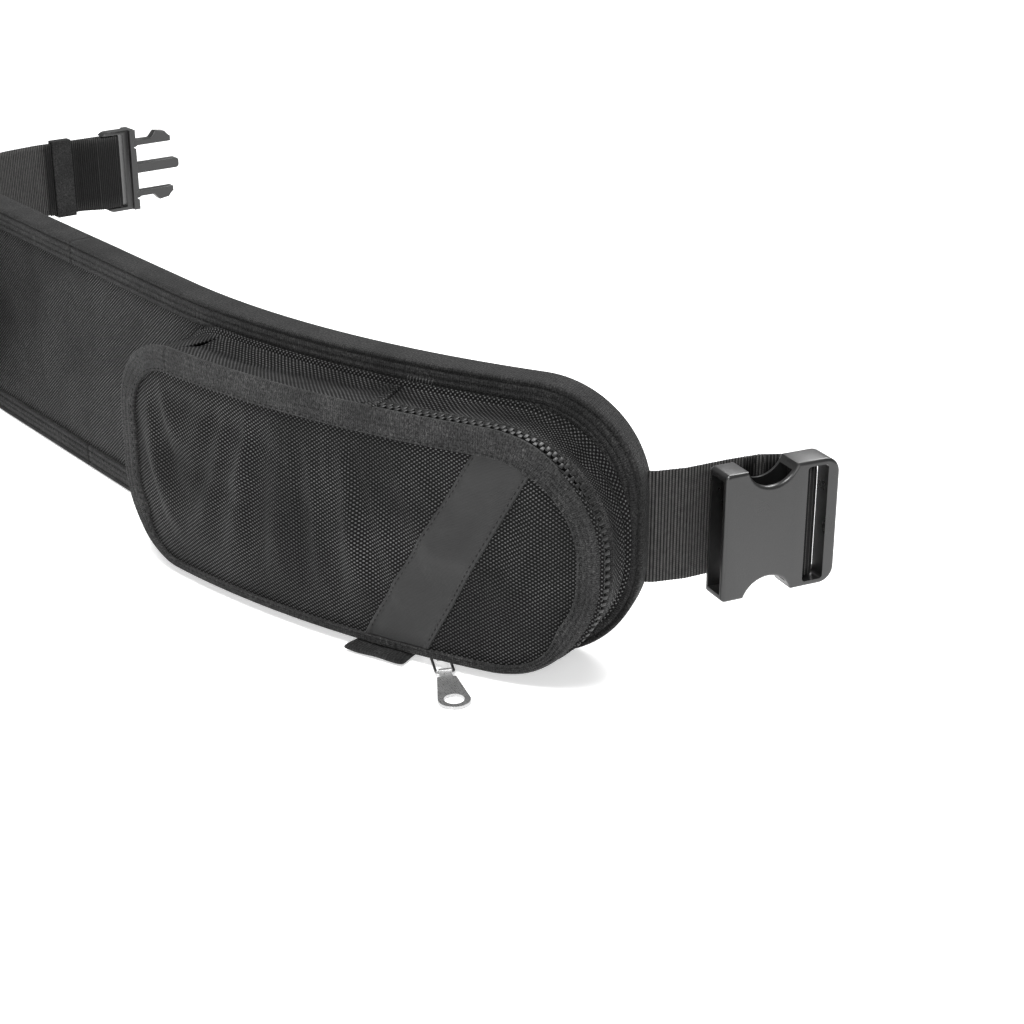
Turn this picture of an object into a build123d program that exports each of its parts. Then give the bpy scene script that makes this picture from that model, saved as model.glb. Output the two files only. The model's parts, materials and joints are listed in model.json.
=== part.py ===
from build123d import *
from collections import namedtuple
from math import cos, radians, sin
import os

# A dive weight belt: a padded waist belt in three sections, a zipped weight pouch on each
# wing, and 50 mm webbing that ends in the two halves of a side-release buckle.
# The belt stands on its lower edge, unfastened, in an open curve. +Z is up, +X runs to the
# end with the socket, and the outer face looks along -Y. The origin is the middle of the
# back section's lower edge. All sizes are in millimetres.

os.makedirs("parts", exist_ok=True)

# Belt pad
flat_half = 98.0          # half length of the straight back section
wing_length = 265.0       # length of a wing along the outer face
face_radius = 443.0       # plan radius of a wing's outer face
pad_height = 121.0
pad_corner = 48.0         # rounding of a wing's far corners
pad_thick = 13.0          # over the edge binding
cover_thick = 2.0
lining_thick = 2.0
binding_wall = 1.0        # thickness of the tape folded over the edge
binding_width = 12.0      # width of the tape on each face
section_gap = 0.3         # between the back section and a wing

# Webbing
web_width = 50.0
web_thick = 1.6
web_play = 0.3            # room around the webbing where it passes through a piece
ring_bite = 0.3           # how far a strap's straight end runs into its turn round a bar

# Pouch, measured along the outer face, outwards from it, and up
pouch_start = 8.0
pouch_stop = 259.0
pouch_low = 3.6
pouch_high = 110.0
pouch_round_high = 50.0
pouch_round_low = 48.0
pouch_round_near = 40.0
pouch_depth = 33.0
tape_wall = 1.2           # thickness of the ribbed tape round the front edge
tape_width = 12.0
gusset_wall = 1.6
front_wall = 1.4

# Zip
zip_top_start = 155.0     # where the zip comes out on the top
zip_low_start = 177.0     # where it comes out on the underside
zip_width = 9.6           # both tapes and the chain
zip_tape_wall = 1.0
chain_width = 5.2
chain_out = 0.9           # how far the chain stands proud of the tape
chain_in = 1.9            # how far it reaches inside the tape's outer face
row_gap = 1.8             # between the rows on the underside, for the slider's bridge
slider_along = 187.0
slider_length = 14.0
slider_width = 8.2
slider_plate = 1.0
slider_play = 0.3
slider_travel = 15.0
garage_start = 152.0
garage_out = 39.0         # outward reach of the folded tab over the zip's end
garage_thick = 2.9

# Bail and pull
pull_turn = -27.0         # direction of the bail and pull in plan, degrees from +X
wire_radius = 0.6
wire_height = 1.5
bail_length = 14.0
bail_width = 7.6          # between the centres of the legs
bail_corner = 0.9
pin_play = 0.2
pull_thick = 1.4
pull_reach = 23.6         # from the barrel to the centre of the hole
pull_ring = 6.8
pull_hole = 4.2
pull_neck = 4.0           # half width of the plate beyond the barrel
barrel_length = 5.4

# Label strip, as places along the belt and heights
label_top = (206.0, 232.0)
label_low = (155.0, 185.0)
label_thick = 0.6

# Lead shot bag
bag_start = 40.0
bag_stop = 150.0
bag_low = 12.0
bag_high = 96.0
bag_seat = 2.0            # from the pad to the bag
bag_play = 5.4            # from the bag to the pouch's front
bag_corner = 8.0

# Buckle. Plan places are measured from the pad's end, outwards along X and along +Y.
buckle_width = 56.0
buckle_thick = 14.0
buckle_wall = 2.3
socket_turn = 77.3        # plan heading from the mouth to the bar, degrees from +X
socket_mouth = (21.9, 15.5)
socket_body = 38.4        # mouth to slot
cavity_depth = 36.0
cavity_height = 50.0
grip_radius = 12.3        # concave finger grips at the sides
grip_depth = 8.0
grip_middle = 22.0        # mouth to the middle of a grip
bar_radius = 2.0
rim_width = 5.8           # cross bar at the far end
rim_thick = 8.0
rim_play = 1.6            # between the webbing's turn and the cross bar
slot_play = 0.4
buckle_edge = 1.5         # rounding of the outer edges
buckle_corner = 7.0

plug_bar = (13.1, 117.5)
plug_bar_radius = 2.6
plug_rim = 4.5
plug_rim_thick = 2.2
plug_rim_gap = 6.2        # from the middle of the bar to a cross bar
plug_flange = 8.5          # from the slot to the face that meets the socket
plug_lip = 4.5
plug_frame_thick = 8.0
tongue_length = 32.0
tongue_width = 7.0
tongue_thick = 6.0
prong_root = 3.0          # radius of a prong's root
prong_spread = 18.0       # centre line to a prong's root
prong_length = 28.0
prong_width = 4.0
prong_thick = 6.0
prong_play = 0.3
prong_head = 24.4         # centre line to the outside of a prong's head

# Straps in plan, from the pad's end to the bar, as places measured from the pad's end
socket_strap = [(5.6, 14.0), (9.1, 33.5), (12.6, 47.5), (21.7, 59.7)]
socket_strap_radii = [24.0, 60.0, 14.0, 5.0]
plug_strap = [(6.6, 17.5), (13.1, 39.5), (16.8, 61.5)]
plug_strap_radii = [24.0, 60.0, 60.0]
strap_gap = 1.1           # at the flexing line at the pad's end
keeper_length = 14.0
keeper_wall = 1.2

# Derived places
middle_height = pad_height / 2
arc_centre_y = face_radius - pad_thick / 2
web_out = -pad_thick + binding_wall + lining_thick + web_thick / 2
web_low = middle_height - web_width / 2
web_high = middle_height + web_width / 2
strap_along = wing_length + 0.8
corner_lean = 24.0        # where a corner's cut is square to the wing, from the corner's centre

Outline = namedtuple("Outline", "start stop low high round_high round_low round_near seat")
pad_outline = Outline(section_gap / 2, wing_length, 0, pad_height, pad_corner, pad_corner, 0,
                      -pad_thick / 2)
pouch_outline = Outline(pouch_start, pouch_stop, pouch_low, pouch_high,
                        pouch_round_high, pouch_round_low, pouch_round_near, pouch_depth / 2)


def inset(outline, amount, near=True):
    # the outline moved inwards; near says whether its near end moves too
    rounds = [max(r - amount, 0) for r in outline[4:7]]
    start = outline.start + (amount if near else 0)
    return Outline(start, outline.stop - amount, outline.low + amount, outline.high - amount,
                   *rounds, outline.seat)


def block(start, stop, low, high):
    return Outline(start, stop, low, high, 0, 0, 0, 0)


def belt_point(along, out):
    # plan point of a wing, along its outer face and outwards from it
    turn = along / face_radius
    reach = face_radius + out
    return (flat_half + reach * sin(turn), arc_centre_y - reach * cos(turn))


def past_pad(place, side=1):
    # plan point of a place measured from the pad's end; side is -1 on the left
    end = belt_point(strap_along, web_out)
    return (side * (end[0] + place[0]), end[1] + place[1])


def corner_cut(outline, end, level, radius):
    # what a rounded corner takes away: end is 1 at the far end, level is 1 at the top
    centre_along = (outline.stop if end > 0 else outline.start) - end * radius
    along = centre_along + end * corner_lean
    forward = Vector(end * cos(along / face_radius), end * sin(along / face_radius), 0)
    reach = face_radius + outline.seat
    centre = (-reach * sin(corner_lean / face_radius),
              (outline.high if level > 0 else outline.low) - level * radius)
    plane = Plane(origin=(*belt_point(along, outline.seat), 0), x_dir=forward,
                  z_dir=forward.cross(Vector(0, 0, 1)))
    across = radius * reach / face_radius
    with BuildPart() as cutter:
        with BuildSketch(plane):
            with Locations(centre):
                Rectangle(across + 10, radius + 10, align=(Align.MIN, Align.MIN if level > 0 else Align.MAX))
                Ellipse(across, radius, mode=Mode.SUBTRACT)
        extrude(amount=2 * pouch_depth, both=True)
    return cutter.part


def wing_panel(out_from, out_to, outline):
    # a curved slab that follows the wing
    near, far = outline.start, outline.stop
    middle = (near + far) / 2
    with BuildPart() as panel:
        with BuildSketch(Plane.XY.offset(outline.low)):
            with BuildLine():
                inner = [belt_point(a, out_from) for a in (near, middle, far)]
                outer = [belt_point(a, out_to) for a in (near, middle, far)]
                ThreePointArc(*inner)
                ThreePointArc(*outer)
                Line(inner[0], outer[0])
                Line(inner[2], outer[2])
            make_face()
        extrude(amount=outline.high - outline.low)
        for end, level, radius in ((1, 1, outline.round_high), (1, -1, outline.round_low),
                                   (-1, 1, outline.round_near), (-1, -1, outline.round_near)):
            if radius > 0:
                add(corner_cut(outline, end, level, radius), mode=Mode.SUBTRACT)
    return panel.part


def back_panel(out_from, out_to, low, high):
    # a straight slab of the back section
    with BuildPart() as panel:
        with BuildSketch(Plane.XY.offset(low)):
            with Locations((0, -pad_thick / 2 - (out_from + out_to) / 2)):
                Rectangle(2 * flat_half - section_gap, out_to - out_from)
        extrude(amount=high - low)
    return panel.part


def webbing(points, radii, thick):
    # a flat strip on edge that follows a plan route
    with BuildPart() as strip:
        with BuildLine() as route:
            FilletPolyline(*[(x, y, middle_height) for x, y in points], radius=radii)
        with BuildSketch(Plane(origin=route.line @ 0, x_dir=(0, 0, 1), z_dir=route.line % 0)):
            Rectangle(web_width, thick)
        sweep()
    return strip.part


def web_ring(centre, inner_radius):
    # the webbing's turn round a bar
    with BuildPart() as ring:
        with BuildSketch(Plane.XY.offset(web_low)):
            with Locations(centre):
                Circle(inner_radius + web_thick)
                Circle(inner_radius, mode=Mode.SUBTRACT)
        extrude(amount=web_width)
    return ring.part


def save(part, name):
    part.label = name
    export_step(part, f"parts/{name}.step")


def save_pair(part, name):
    # the piece on the +X wing, and its mirror image on the other
    save(part, f"right_{name}")
    save(mirror(part, about=Plane.YZ), f"left_{name}")


# Pad layers, from the outer face inwards
cover_out = -binding_wall
foam_out = cover_out - cover_thick
lining_in = -pad_thick + binding_wall
foam_in = lining_in + lining_thick
pad_core = inset(pad_outline, binding_wall, near=False)
web_strip = block(section_gap / 2, strap_along - strap_gap / 2, web_low, web_high)
web_channel = block(-1, wing_length + 5, web_low - web_play, web_high + web_play)
web_from = web_out - web_thick / 2
web_to = web_out + web_thick / 2

with BuildPart() as back_cover:
    add(back_panel(foam_out, cover_out, binding_wall, pad_height - binding_wall))
save(back_cover.part, "back_cover")

with BuildPart() as back_foam:
    add(back_panel(foam_in, foam_out, binding_wall, pad_height - binding_wall))
    add(back_panel(foam_in - 1, web_to + web_play, web_channel.low, web_channel.high), mode=Mode.SUBTRACT)
save(back_foam.part, "back_foam")

with BuildPart() as back_lining:
    add(back_panel(lining_in, foam_in, binding_wall, pad_height - binding_wall))
save(back_lining.part, "back_lining")

with BuildPart() as back_webbing:
    add(back_panel(web_from, web_to, web_low, web_high))
save(back_webbing.part, "back_webbing")

with BuildPart() as back_binding:
    add(back_panel(-pad_thick, 0, 0, pad_height))
    add(back_panel(lining_in, cover_out, binding_wall, pad_height - binding_wall), mode=Mode.SUBTRACT)
    add(back_panel(-pad_thick - 1, 1, binding_width, pad_height - binding_width), mode=Mode.SUBTRACT)
save(back_binding.part, "back_binding")

with BuildPart() as wing_cover:
    add(wing_panel(foam_out, cover_out, pad_core))
save_pair(wing_cover.part, "wing_cover")

with BuildPart() as wing_foam:
    add(wing_panel(foam_in, foam_out, pad_core))
    add(wing_panel(foam_in - 1, web_to + web_play, web_channel), mode=Mode.SUBTRACT)
save_pair(wing_foam.part, "wing_foam")

with BuildPart() as wing_lining:
    add(wing_panel(lining_in, foam_in, pad_core))
save_pair(wing_lining.part, "wing_lining")

with BuildPart() as wing_webbing:
    add(wing_panel(web_from, web_to, web_strip))
save_pair(wing_webbing.part, "wing_webbing")

with BuildPart() as wing_binding:
    add(wing_panel(-pad_thick, 0, pad_outline))
    add(wing_panel(lining_in, cover_out, pad_core), mode=Mode.SUBTRACT)
    add(wing_panel(-pad_thick - 1, 1, inset(pad_outline, binding_width, near=False)._replace(start=-1)),
        mode=Mode.SUBTRACT)
    add(wing_panel(web_from - web_play, web_to + web_play, web_channel), mode=Mode.SUBTRACT)
save_pair(wing_binding.part, "wing_binding")

# Pouch walls
gusset_outline = inset(pouch_outline, tape_wall)
front_out = pouch_depth - tape_wall
front_in = front_out - front_wall
zip_in = front_in - zip_width
chain_middle = front_in - zip_width / 2
past_end = pouch_stop + 20


def zip_zone(out_from, out_to, shorter=0):
    # the stretch of the pouch's side wall that the zip takes up
    with BuildPart() as zone:
        add(wing_panel(out_from, out_to, block(zip_top_start + shorter, past_end, middle_height, past_end)))
        add(wing_panel(out_from, out_to, block(zip_low_start + shorter, past_end, -20, middle_height)))
    return zone.part


with BuildPart() as pouch_gusset:
    add(wing_panel(0, front_in, gusset_outline))
    add(wing_panel(-1, front_in + 1, inset(gusset_outline, gusset_wall)), mode=Mode.SUBTRACT)
    add(zip_zone(zip_in, front_in + 1), mode=Mode.SUBTRACT)
save_pair(pouch_gusset.part, "pouch_gusset")

with BuildPart() as pouch_front:
    add(wing_panel(front_in, front_out, gusset_outline))
save_pair(pouch_front.part, "pouch_front")

with BuildPart() as front_tape:
    add(wing_panel(front_in, pouch_depth, pouch_outline))
    add(wing_panel(front_in - 1, front_out, gusset_outline), mode=Mode.SUBTRACT)
    add(wing_panel(front_in - 1, pouch_depth + 1, inset(pouch_outline, tape_width)), mode=Mode.SUBTRACT)
save_pair(front_tape.part, "front_tape")

with BuildPart() as zip_tape:
    add(wing_panel(zip_in, front_in, gusset_outline))
    add(wing_panel(zip_in - 1, front_in + 1, inset(gusset_outline, zip_tape_wall)), mode=Mode.SUBTRACT)
    add(wing_panel(chain_middle - chain_width / 2, chain_middle + chain_width / 2,
                   block(pouch_start, past_end, -20, past_end)), mode=Mode.SUBTRACT)
    add(zip_zone(zip_in, front_in), mode=Mode.INTERSECT)
save_pair(zip_tape.part, "zip_tape")

chain_half = chain_width / 2
chain_low = gusset_outline.low - chain_out
chain_high = gusset_outline.low + chain_in
row_gap_end = slider_along + slider_length / 2 + slider_travel + 4
with BuildPart() as zip_chain:
    add(wing_panel(chain_middle - chain_half, chain_middle + chain_half, inset(gusset_outline, -chain_out)))
    add(wing_panel(chain_middle - chain_width, chain_middle + chain_width, inset(gusset_outline, chain_in)),
        mode=Mode.SUBTRACT)
    add(zip_zone(chain_middle - chain_width, chain_middle + chain_width, shorter=2), mode=Mode.INTERSECT)
    add(wing_panel(chain_middle - row_gap / 2, chain_middle + row_gap / 2,
                   block(zip_low_start - 5, row_gap_end, chain_low - 1, chain_high + 1)), mode=Mode.SUBTRACT)
save_pair(zip_chain.part, "zip_chain")

garage_low = pouch_low - garage_thick - 0.4
with BuildPart() as zip_garage:
    add(wing_panel(zip_in, garage_out,
                   block(garage_start, zip_low_start, garage_low, garage_low + garage_thick)))
    free_corner = (*belt_point(slider_along, garage_out), 0)
    tab_edges = zip_garage.edges().filter_by(Axis.Z).sort_by_distance(free_corner)
    fillet(tab_edges[0], 3)
save_pair(zip_garage.part, "zip_garage")

label_middle = sum(label_top + label_low) / 4
label_turn = label_middle / face_radius
label_plane = Plane(origin=(*belt_point(label_middle, 0), 0), x_dir=(cos(label_turn), sin(label_turn), 0),
                    z_dir=(sin(label_turn), -cos(label_turn), 0))
label_scale = (face_radius + front_out) / face_radius
label_inner = inset(pouch_outline, tape_width)
with BuildPart() as label_band:
    with BuildSketch(label_plane):
        corners = [(a, label_inner.low) for a in label_low]
        corners += [(a, label_inner.high) for a in reversed(label_top)]
        Polygon(*[((a - label_middle) * label_scale, z) for a, z in corners], align=None)
    extrude(amount=2 * pouch_depth)
with BuildPart() as label_strip:
    add(wing_panel(front_out, front_out + label_thick, label_inner))
    add(label_band.part, mode=Mode.INTERSECT)
save_pair(label_strip.part, "label_strip")

with BuildPart() as shot_bag:
    add(wing_panel(bag_seat, front_in - bag_play,
                   Outline(bag_start, bag_stop, bag_low, bag_high, *[bag_corner] * 3, 0)))
save_pair(shot_bag.part, "shot_bag")

# Zip slider, bail and pull. They share an upright frame at the slider's crown, whose x runs
# along the bail.
crown_spot = belt_point(slider_along, chain_middle)
crown_frame = Plane(origin=(*crown_spot, 0), x_dir=(cos(radians(pull_turn)), sin(radians(pull_turn)), 0),
                    z_dir=(0, 0, 1))
slider_span = (slider_along - slider_length / 2, slider_along + slider_length / 2)
bridge_width = row_gap - 2 * slider_play
with BuildPart() as zip_slider:
    for low in (chain_low - slider_play - slider_plate, chain_high + slider_play):
        add(wing_panel(chain_middle - slider_width / 2, chain_middle + slider_width / 2,
                       block(*slider_span, low, low + slider_plate)))
    fillet(zip_slider.edges().filter_by(Axis.Z), 2)
    add(wing_panel(chain_middle - bridge_width / 2, chain_middle + bridge_width / 2,
                   block(slider_span[0] + 1, slider_span[0] + 5, chain_low - slider_play,
                         chain_high + slider_play)))
    with BuildSketch(crown_frame.offset(0.2)):
        Rectangle(3.2, 3.2)
    extrude(amount=chain_low - slider_play - slider_plate - 0.2)
    with BuildSketch(Plane(origin=(*crown_spot, wire_height), z_dir=crown_frame.y_dir)):
        Circle(wire_radius + pin_play)
    extrude(amount=5, both=True, mode=Mode.SUBTRACT)
save_pair(zip_slider.part, "zip_slider")

with BuildPart() as zip_bail:
    with BuildLine(crown_frame.offset(wire_height)) as bail_route:
        FilletPolyline((0, -bail_width / 2), (bail_length, -bail_width / 2), (bail_length, bail_width / 2),
                       (0, bail_width / 2), radius=bail_corner, close=True)
    with BuildSketch(Plane(origin=bail_route.line @ 0, z_dir=bail_route.line % 0)):
        Circle(wire_radius)
    sweep()
save_pair(zip_bail.part, "zip_bail")

barrel_frame = Plane(origin=crown_frame.from_local_coords((bail_length, 0, 0)), x_dir=crown_frame.x_dir,
                     z_dir=(0, 0, 1))
barrel_spot = Plane(origin=barrel_frame.from_local_coords((0, 0, wire_height)), z_dir=crown_frame.y_dir)
with BuildPart() as zip_pull:
    with BuildSketch(barrel_frame):
        with Locations((pull_reach, 0)):
            Circle(pull_ring)
        with Locations((pull_neck, 0)):
            Rectangle(0.5, 2 * pull_neck)
        make_hull()
        with Locations((pull_neck / 2, 0)):
            Rectangle(pull_neck, barrel_length)
    extrude(amount=pull_thick)
    with BuildSketch(barrel_spot):
        Circle(wire_height)
    extrude(amount=barrel_length / 2, both=True)
    with BuildSketch(barrel_spot):
        Circle(wire_radius + pin_play)
    extrude(amount=barrel_length, both=True, mode=Mode.SUBTRACT)
    with BuildSketch(barrel_frame):
        with Locations((pull_reach, 0)):
            Circle(pull_hole)
    extrude(amount=pull_thick, mode=Mode.SUBTRACT)
save_pair(zip_pull.part, "zip_pull")

# Buckle socket. Its frame's x runs from the mouth to the bar and its y runs up.
heading = (cos(radians(socket_turn)), sin(radians(socket_turn)), 0)
facing = (sin(radians(socket_turn)), -cos(radians(socket_turn)), 0)
socket_frame = Plane(origin=(*past_pad(socket_mouth), middle_height), x_dir=heading, z_dir=facing)
ring_inner = bar_radius + web_play
ring_outer = ring_inner + web_thick
bar_along = socket_body + slot_play + ring_outer
rim_along = bar_along + ring_outer + rim_play
socket_length = rim_along + rim_width
slot_height = web_width + 4 * web_play
bar_spot = socket_frame.from_local_coords((bar_along, 0, 0))
grip_centre = buckle_width / 2 + grip_radius - grip_depth
with BuildPart() as socket_housing:
    with BuildSketch(socket_frame) as socket_outline:
        Rectangle(socket_length, buckle_width, align=(Align.MIN, Align.CENTER))
        fillet(socket_outline.vertices().group_by(Axis.X)[-1], buckle_corner)
        fillet(socket_outline.vertices().group_by(Axis.X)[0], 2)
        with Locations((grip_middle, grip_centre), (grip_middle, -grip_centre)):
            Circle(grip_radius, mode=Mode.SUBTRACT)
    extrude(amount=buckle_thick / 2, both=True)
    faces_by_depth = socket_housing.faces().sort_by(Axis(socket_frame.origin, socket_frame.z_dir))
    fillet(faces_by_depth[0].edges() + faces_by_depth[-1].edges(), buckle_edge)
    with BuildSketch(Plane(origin=socket_frame.origin, x_dir=(0, 0, 1), z_dir=heading)):
        Rectangle(cavity_height, buckle_thick - 2 * buckle_wall)
    extrude(amount=cavity_depth, mode=Mode.SUBTRACT)
    with BuildSketch(socket_frame):
        with Locations(((socket_body + rim_along) / 2, 0)):
            RectangleRounded(rim_along - socket_body, slot_height, 1.5)
    extrude(amount=buckle_thick, both=True, mode=Mode.SUBTRACT)
    with BuildSketch(socket_frame.offset(buckle_thick / 2 - rim_thick)):
        with Locations((socket_length, 0)):
            Rectangle(2 * rim_width + 2, slot_height)
    extrude(amount=-buckle_thick, mode=Mode.SUBTRACT)
    with BuildSketch(Plane.XY.offset(middle_height - slot_height / 2 - 0.5)):
        with Locations(Vector(bar_spot.X, bar_spot.Y)):
            Circle(bar_radius)
    extrude(amount=slot_height + 1)
save(socket_housing.part, "socket_housing")

# Buckle plug. Its frame is at the middle of its bar; x runs to the tips of the prongs and y up.
plug_spot = past_pad(plug_bar, side=-1)
plug_frame = Plane(origin=(*plug_spot, middle_height), x_dir=(0, 1, 0), z_dir=(1, 0, 0))
plug_ring_inner = plug_bar_radius + web_play
flange_stop = plug_rim_gap + plug_flange
prong_along = flange_stop + 1
with BuildPart() as plug_body:
    with BuildSketch(plug_frame) as plug_outline:
        with Locations(((plug_flange - plug_rim) / 2, 0)):
            Rectangle(2 * plug_rim_gap + plug_rim + plug_flange, buckle_width)
        fillet(plug_outline.vertices().group_by(Axis.X)[0], buckle_corner)
        Rectangle(2 * plug_rim_gap, slot_height, mode=Mode.SUBTRACT)
    extrude(amount=plug_frame_thick / 2, both=True)
    with BuildSketch(plug_frame) as flange:
        with Locations((flange_stop - plug_lip / 2, 0)):
            Rectangle(plug_lip, buckle_width)
    extrude(amount=buckle_thick / 2, both=True)
    with BuildSketch(plug_frame) as tongue:
        with Locations((flange_stop + tongue_length / 2, 0)):
            RectangleRounded(tongue_length + 5, tongue_width, 2.4)
    extrude(amount=tongue_thick / 2, both=True)
    for side in (1, -1):
        with BuildSketch(plug_frame.offset(side * plug_rim_thick / 2)):
            with Locations((-plug_rim_gap - plug_rim, 0)):
                Rectangle(2 * plug_rim + 2, slot_height)
        extrude(amount=side * buckle_thick, mode=Mode.SUBTRACT)
    with BuildSketch(plug_frame) as root_seats:
        with Locations((prong_along, prong_spread), (prong_along, -prong_spread)):
            Circle(prong_root + prong_play)
    extrude(amount=buckle_thick, both=True, mode=Mode.SUBTRACT)
    with BuildSketch(Plane.XY.offset(middle_height - slot_height / 2 - 0.5)):
        with Locations(plug_spot):
            Circle(plug_bar_radius)
    extrude(amount=slot_height + 1)
save(plug_body.part, "plug_body")

head_start = prong_along + prong_length * 0.6
prong_tip = prong_along + prong_length
with BuildPart() as upper_prong:
    with BuildSketch(plug_frame):
        with Locations((prong_along, prong_spread)):
            Circle(prong_root)
            Rectangle(prong_length, prong_width, align=(Align.MIN, Align.CENTER))
        Polygon((head_start - 4, prong_spread + prong_width / 2), (head_start, prong_head),
                (prong_tip - 4, prong_head - 1), (prong_tip, prong_spread + 1),
                (prong_tip - 2, prong_spread - 2), (head_start - 4, prong_spread - 1), align=None)
    extrude(amount=prong_thick / 2, both=True)
save(upper_prong.part, "upper_prong")
save(mirror(upper_prong.part, about=Plane.XY.offset(middle_height)), "lower_prong")

# Strap with the socket: from the pad's end, round the bar, and sewn back on itself
strap_start = belt_point(strap_along + strap_gap / 2, web_out)
bar_centre = Vector(bar_spot.X, bar_spot.Y)
bends = [Vector(*past_pad(place)) for place in socket_strap]
to_bar = (bar_centre - bends[-1]).normalized()
fold_start = bar_centre - to_bar * (ring_inner + ring_bite)
fold_end = bends[-2] + (bends[-3] - bends[-2]) * 0.6
with BuildPart() as right_strap:
    add(webbing([strap_start] + [(bend.X, bend.Y) for bend in bends] + [(fold_start.X, fold_start.Y)],
                socket_strap_radii, web_thick))
    add(webbing([(spot.X, spot.Y) for spot in (fold_start, bends[-1], bends[-2], fold_end)],
                [socket_strap_radii[-1], socket_strap_radii[-2]], 2 * web_thick))
    add(web_ring(bar_centre, ring_inner))
save(right_strap.part, "right_strap")

# Strap with the plug: round the bar and back, with its tail under an elastic keeper
web_offset = plug_ring_inner + web_thick / 2
outer_run = plug_spot[0] - web_offset
inner_run = plug_spot[0] + web_offset
tail_run = outer_run + web_thick + web_play
plug_bends = [past_pad(place, side=-1) for place in plug_strap]
straight_from = plug_bends[-1][1]
tail_points = [(inner_run, plug_spot[1]), (inner_run, plug_spot[1] - 13), (tail_run, plug_spot[1] - 26),
               (tail_run, straight_from + 6)]
with BuildPart() as left_strap:
    add(webbing([(-strap_start[0], strap_start[1])] + plug_bends + [(outer_run, plug_spot[1])],
                plug_strap_radii, web_thick))
    add(webbing(tail_points, [10, 10], web_thick))
    with BuildSketch(Plane.XY.offset(web_low)):
        with Locations(plug_spot):
            Circle(plug_ring_inner + web_thick)
            Circle(plug_ring_inner, mode=Mode.SUBTRACT)
            Rectangle(4 * web_offset, 2 * web_offset, align=(Align.CENTER, Align.MAX), mode=Mode.SUBTRACT)
    extrude(amount=web_width)
save(left_strap.part, "left_strap")

keeper_gap = 0.2
keeper_middle = straight_from + 18
keeper_inside = tail_run - outer_run + web_thick + 2 * keeper_gap
with BuildPart() as strap_keeper:
    with BuildSketch(Plane.XZ.offset(-keeper_middle)):
        with Locations(((outer_run + tail_run) / 2, middle_height)):
            Rectangle(keeper_inside + 2 * keeper_wall, web_width + 2 * keeper_gap + 2 * keeper_wall)
            Rectangle(keeper_inside, web_width + 2 * keeper_gap, mode=Mode.SUBTRACT)
    extrude(amount=keeper_length / 2, both=True)
save(strap_keeper.part, "strap_keeper")

barrel = barrel_frame.origin
hole = barrel_frame.from_local_coords((pull_reach, 0, 0))
for label, place in (("pad end", Vector(*past_pad((0, 0)))), ("socket mouth", socket_frame.origin),
                     ("socket bar", bar_centre), ("plug bar", plug_frame.origin),
                     ("crown", Vector(*crown_spot)), ("barrel", barrel), ("pull hole", hole)):
    print(f"{label}: {place.X:.3f}, {place.Y:.3f}")
print(f"arc centre: {flat_half:.3f}, {arc_centre_y:.3f}; bar {bar_along:.2f} mm from the socket's mouth")
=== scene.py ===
import json
import math
import bmesh
import bpy
from mathutils import Matrix, Vector, noise
from mathutils.bvhtree import BVHTree


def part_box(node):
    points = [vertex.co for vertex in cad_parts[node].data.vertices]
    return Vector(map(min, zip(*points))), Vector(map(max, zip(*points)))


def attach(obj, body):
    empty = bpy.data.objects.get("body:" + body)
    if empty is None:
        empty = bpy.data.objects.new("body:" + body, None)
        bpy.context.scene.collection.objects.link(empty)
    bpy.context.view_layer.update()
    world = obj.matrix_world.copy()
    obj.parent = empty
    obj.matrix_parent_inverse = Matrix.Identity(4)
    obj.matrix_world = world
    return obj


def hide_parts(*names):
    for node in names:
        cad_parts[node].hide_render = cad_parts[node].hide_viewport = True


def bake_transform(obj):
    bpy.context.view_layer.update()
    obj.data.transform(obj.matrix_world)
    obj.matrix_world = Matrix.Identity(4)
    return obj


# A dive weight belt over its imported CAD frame: padded belt with bound edges, a zipped weight pouch
# on each wing, ribbed straps and a side-release buckle. Metres throughout.

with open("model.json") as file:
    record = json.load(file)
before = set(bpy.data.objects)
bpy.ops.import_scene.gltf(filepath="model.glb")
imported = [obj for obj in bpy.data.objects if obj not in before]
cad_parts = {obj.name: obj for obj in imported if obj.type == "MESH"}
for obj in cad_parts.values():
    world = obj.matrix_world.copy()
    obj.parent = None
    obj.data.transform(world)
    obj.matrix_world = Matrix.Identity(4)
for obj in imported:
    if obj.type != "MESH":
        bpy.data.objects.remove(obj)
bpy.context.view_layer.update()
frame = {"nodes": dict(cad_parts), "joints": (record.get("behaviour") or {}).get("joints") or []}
joints = {joint["name"]: joint for joint in frame["joints"]}
scene = bpy.context.scene

# ---- The belt's own coordinates: along a wing's outer face, outwards from it, and up ----

arcCentre = Vector(joints["right_slider_travel"]["pos_m"])
flatHalf = arcCentre.x                                # half the straight back section
backFace = -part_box("back_binding")[0].y               # outer face of the back section
faceRadius = arcCentre.y + backFace
padBottom, padTop = (corner.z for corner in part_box("back_binding"))
middle = (padBottom + padTop) / 2
sides = {"right": 1, "left": -1}


def beltPoint(along, out, height, side=1):
    if along < 0:                                     # on the straight back section
        return Vector((side * (flatHalf + along), -backFace - out, height))
    turn = along / faceRadius
    reach = faceRadius + out
    x, y = flatHalf + reach * math.sin(turn), arcCentre.y - reach * math.cos(turn)
    return Vector((side * x, y, height))


def outward(along, side=1):
    turn = max(along, 0) / faceRadius
    return Vector((side * math.sin(turn), -math.cos(turn), 0))


def beltBox(node):
    # a wing node's extent: near, far, inner, outer, low, high
    spots = [v.co for v in frame["nodes"][node].data.vertices]
    alongs = [math.atan2(p.x - flatHalf, arcCentre.y - p.y) * faceRadius for p in spots]
    outs = [math.hypot(p.x - flatHalf, arcCentre.y - p.y) - faceRadius for p in spots]
    heights = [p.z for p in spots]
    return min(alongs), max(alongs), min(outs), max(outs), min(heights), max(heights)


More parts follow.
